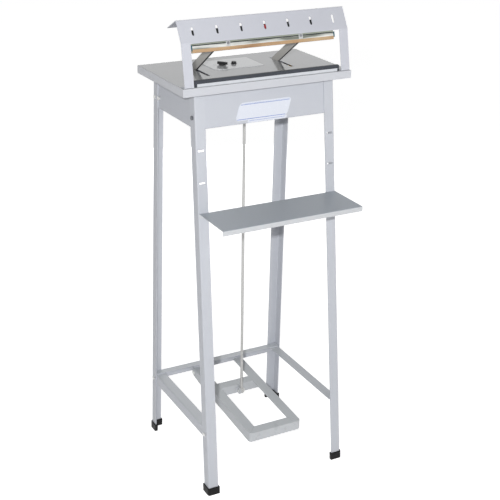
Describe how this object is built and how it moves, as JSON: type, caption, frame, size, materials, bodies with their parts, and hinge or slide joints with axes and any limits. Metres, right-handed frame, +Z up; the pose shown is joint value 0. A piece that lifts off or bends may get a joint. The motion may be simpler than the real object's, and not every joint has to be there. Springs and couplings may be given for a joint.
{
  "type": "foot pedal sealer",
  "caption": "Floor-standing heat sealer: a pedal pulls a rod that swings a heated jaw down on a rubber anvil under a slotted guard, on a table with four legs.",
  "frame": {"origin": "on the floor, under the middle of the overall box", "axes": "+Z up; +X to the right of someone who stands at the pedal; +Y away from them, so the pedal, shelf and jaw face -Y"},
  "size_m": [0.48, 0.4744, 1.2882],
  "materials": {
    "paint": "smooth grey stove paint",
    "foot": "moulded black",
    "aluminium": "extruded, plain",
    "steel": "plain bright steel",
    "zinc": "zinc plated",
    "black_metal": "black paint",
    "silicone": "matt",
    "ptfe": "woven tan tape",
    "ribbon": "heated resistance strip",
    "brass": "turned",
    "black_plastic": "moulded",
    "grey_plastic": "moulded nylon",
    "teal_plastic": "moulded",
    "red_plastic": "moulded",
    "panel": "pale grey plate",
    "laminations": "stacked and varnished",
    "winding": "taped winding",
    "board": "green circuit board"
  },
  "bodies": {
    "stand": {"table_top": "paint", "front_apron": "paint", "rear_apron": "paint", "left_apron": "paint", "right_apron": "paint", "rear_crossbar": "paint", "left_brace": "paint", "right_brace": "paint", "shelf": "paint", "guard": "paint", "front_left_leg": "paint", "front_right_leg": "paint", "rear_left_leg": "paint", "rear_right_leg": "paint", "front_left_foot_cap": "foot", "front_right_foot_cap": "foot", "rear_left_foot_cap": "foot", "rear_right_foot_cap": "foot", "anvil_bar": "aluminium", "anvil_rubber": "silicone", "table_screws": "zinc", "control_plate": "panel", "timer_pot": "zinc", "fuse_holder": "black_plastic", "left_shaft_bracket": "steel", "right_shaft_bracket": "steel", "shaft_bushes": "brass", "return_spring": "zinc", "spring_bridge": "zinc", "limit_switch": "black_plastic", "pedal_lugs": "paint", "tray": "zinc", "transformer_core": "laminations", "transformer_coil": "winding", "transformer_clamp": "zinc", "timer_board": "board", "cable_gland": "grey_plastic", "panel_screws": "zinc", "cabinet_bolts": "zinc", "brace_bolts": "zinc"},
    "rocker": {"rocker_shaft": "steel", "left_jaw_arm": "steel", "right_jaw_arm": "steel", "rod_lever": "steel", "lever_pin": "zinc", "jaw_bar": "aluminium", "jaw_stiffener": "black_metal", "heating_ribbon": "ribbon", "ptfe_tape": "ptfe", "ribbon_terminals": "teal_plastic", "lead_block": "red_plastic", "jaw_screws": "zinc"},
    "pull_rod": {"pull_rod": "zinc", "rod_collar": "zinc"},
    "pedal": {"pedal_frame": "paint", "pedal_pins": "zinc"},
    "switch_lever": {"switch_lever": "steel"},
    "timer_knob": {"timer_knob": "black_plastic"},
    "fuse_cap": {"fuse_cap": "black_plastic"}
  },
  "joints": [
    {"name": "pedal_hinge", "type": "hinge", "parent": "stand", "child": "pedal", "pos_m": [0, 0.20696, 0.167], "axis": [1, 0, 0], "range_deg": [0, 10], "stiffness_Nm_per_rad": 20, "springref_deg": -28.65, "deforming": ["return_spring"]},
    {"name": "rocker_hinge", "type": "hinge", "parent": "stand", "child": "rocker", "pos_m": [0, 0.14496, 1.1], "axis": [1, 0, 0], "range_deg": [0, 16]},
    {"name": "rod_hinge", "type": "hinge", "parent": "pedal", "child": "pull_rod", "pos_m": [0.0085, 0.06595, 0.155], "axis": [1, 0, 0], "range_deg": [-9.9, 0]},
    {"name": "switch_lever_hinge", "type": "hinge", "parent": "stand", "child": "switch_lever", "pos_m": [0.0175, 0.11195, 1.078], "axis": [1, 0, 0], "range_deg": [0, 13]},
    {"name": "timer_knob_turn", "type": "hinge", "parent": "stand", "child": "timer_knob", "pos_m": [-0.041, 0.09195, 1.136], "axis": [0, 0, -1], "range_deg": [0, 270]},
    {"name": "fuse_cap_turn", "type": "hinge", "parent": "stand", "child": "fuse_cap", "pos_m": [-0.005, 0.09695, 1.134], "axis": [0, 0, 1], "range_deg": [0, 45]}
  ],
  "couplings": [
    {"joint": "rocker_hinge", "follows": "pedal_hinge", "ratio": 1.6},
    {"joint": "rod_hinge", "follows": "pedal_hinge", "ratio": -0.975},
    {"joint": "switch_lever_hinge", "follows": "pedal_hinge", "ratio": 1.3}
  ]
}
